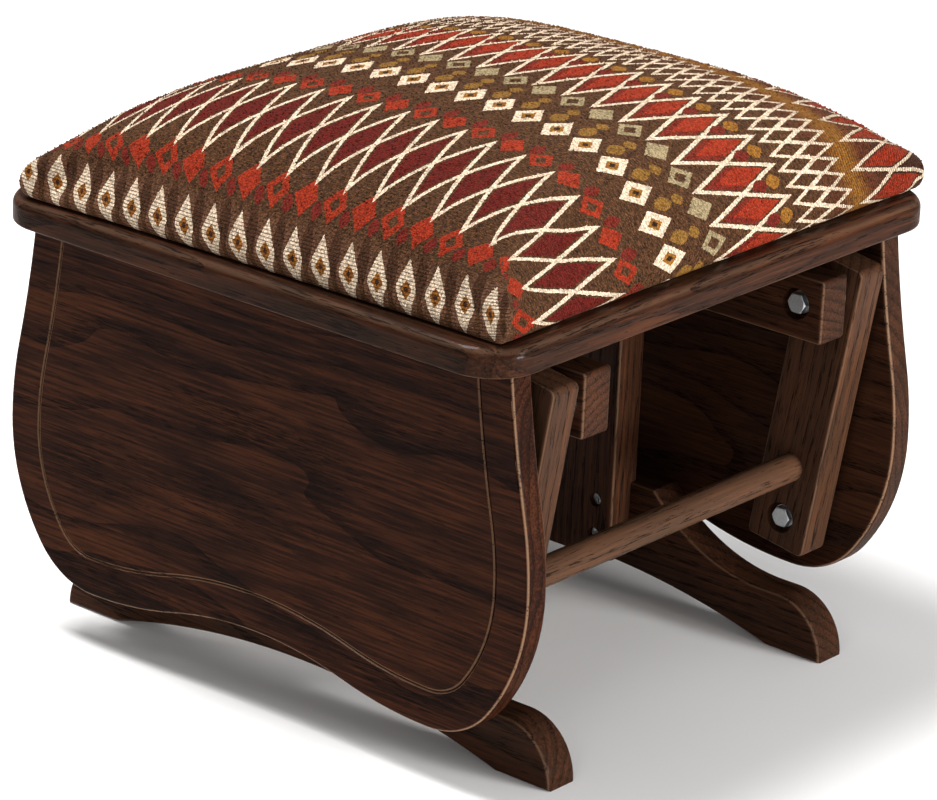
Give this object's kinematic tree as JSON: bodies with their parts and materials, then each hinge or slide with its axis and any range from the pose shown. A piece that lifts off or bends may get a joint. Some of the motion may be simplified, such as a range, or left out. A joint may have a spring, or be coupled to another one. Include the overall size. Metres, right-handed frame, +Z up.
{
  "type": "glider_ottoman",
  "caption": "Oak glider ottoman: crowned tapestry cushion on a mitred frame with vase-shaped side panels, hung by four swing arms from a fixed base so that the seat glides forward and back",
  "frame": {"origin": "on the floor under the middle of the ottoman", "axes": "+X to the right along the wider side of the seat, +Y to the rear along the glide, +Z up"},
  "size_m": [0.466, 0.456, 0.4064],
  "materials": {
    "stained_oak": "dark walnut stained oak, satin lacquer",
    "beech": "plain beech",
    "zinc_plated_steel": "zinc plated",
    "bearing_steel": "ground and polished",
    "brass": "turned",
    "birch_plywood": "sanded, unfinished",
    "foam": "open-cell foam",
    "tapestry": "woven chenille tapestry"
  },
  "bodies": {
    "base": {"left_foot": "stained_oak", "right_foot": "stained_oak", "left_post": "stained_oak", "right_post": "stained_oak", "left_rail": "stained_oak", "right_rail": "stained_oak", "front_cross_rail": "stained_oak", "rear_cross_rail": "stained_oak", "foot_screws": "zinc_plated_steel", "cross_rail_screws": "zinc_plated_steel", "upper_bearing_outer_rings": "bearing_steel", "upper_bearing_balls": "bearing_steel"},
    "front_arms": {"front_left_arm": "stained_oak", "front_right_arm": "stained_oak", "front_dowel": "stained_oak", "front_upper_bolts": "zinc_plated_steel", "front_upper_washers": "zinc_plated_steel", "front_upper_sleeves": "zinc_plated_steel", "front_upper_inner_rings": "bearing_steel", "front_arm_inserts": "brass", "front_lower_outer_rings": "bearing_steel", "front_lower_bearing_balls": "bearing_steel"},
    "rear_arms": {"rear_left_arm": "stained_oak", "rear_right_arm": "stained_oak", "rear_dowel": "stained_oak", "rear_upper_bolts": "zinc_plated_steel", "rear_upper_washers": "zinc_plated_steel", "rear_upper_sleeves": "zinc_plated_steel", "rear_upper_inner_rings": "bearing_steel", "rear_arm_inserts": "brass", "rear_lower_outer_rings": "bearing_steel"},
    "seat": {"seat_frame_front": "stained_oak", "seat_frame_rear": "stained_oak", "seat_frame_left": "stained_oak", "seat_frame_right": "stained_oak", "mitre_pins": "beech", "left_panel": "stained_oak", "right_panel": "stained_oak", "left_cleat": "stained_oak", "right_cleat": "stained_oak", "cleat_screws": "zinc_plated_steel", "deck_board": "birch_plywood", "deck_screws": "zinc_plated_steel", "foam_pad": "foam", "cushion_cover": "tapestry", "lower_pivot_bolts": "zinc_plated_steel", "lower_pivot_washers": "zinc_plated_steel", "lower_pivot_sleeves": "zinc_plated_steel", "lower_bearing_inner_rings": "bearing_steel", "panel_inserts": "brass"}
  },
  "joints": [
    {"name": "front_swing", "type": "hinge", "parent": "base", "child": "front_arms", "pos_m": [0, -0.1905, 0.26], "axis": [1, 0, 0], "range_deg": [-14, 14]},
    {"name": "rear_swing", "type": "hinge", "parent": "base", "child": "rear_arms", "pos_m": [0, 0.1905, 0.26], "axis": [1, 0, 0], "range_deg": [-14.5, 14.5]},
    {"name": "seat_level", "type": "hinge", "parent": "front_arms", "child": "seat", "pos_m": [0, -0.163, 0.088], "axis": [1, 0, 0], "range_deg": [-17, 17]}
  ],
  "couplings": [
    {"joint": "rear_swing", "follows": "front_swing", "ratio": 1},
    {"joint": "seat_level", "follows": "front_swing", "ratio": -1.1661}
  ]
}
